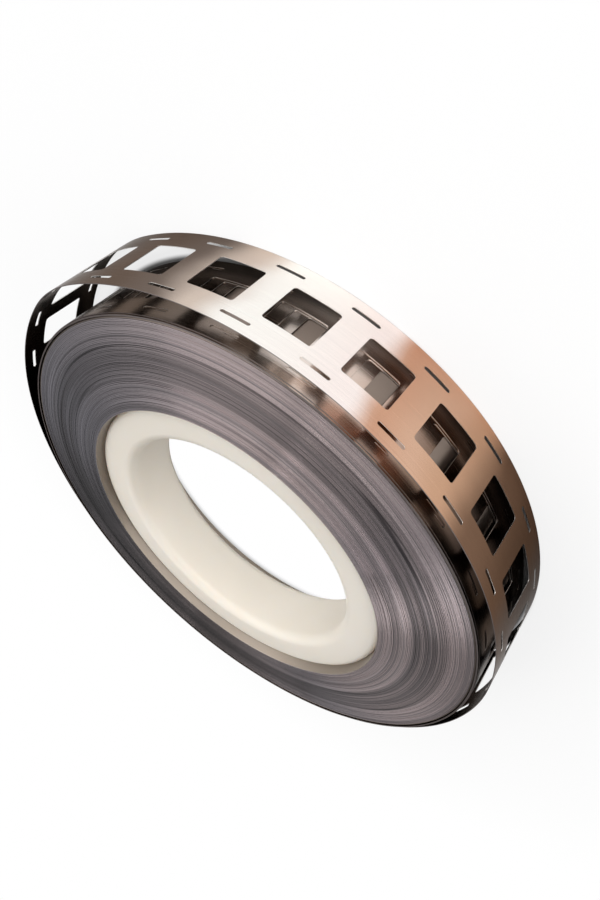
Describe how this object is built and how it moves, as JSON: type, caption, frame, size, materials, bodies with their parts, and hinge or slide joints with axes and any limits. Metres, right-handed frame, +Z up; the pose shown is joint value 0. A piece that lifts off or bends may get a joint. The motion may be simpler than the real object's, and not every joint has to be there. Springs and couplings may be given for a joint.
{
  "type": "nickel strip roll",
  "caption": "Roll of perforated nickel strip on a plastic core, its outer turn sprung loose, for joining pairs of cylindrical cells by spot welding.",
  "frame": {"origin": "middle of the core's bore, on the roll's axis", "axes": "the roll lies on its end: +Z up along its axis, -Y toward the side where the outer turn stands off, +X to the right as seen from there"},
  "size_m": [0.1591, 0.1592, 0.03],
  "materials": {
    "nickel": "bright rolled nickel",
    "core_plastic": "satin moulded"
  },
  "bodies": {
    "root": {"nickel_strip": "nickel", "core": "core_plastic"}
  },
  "joints": []
}
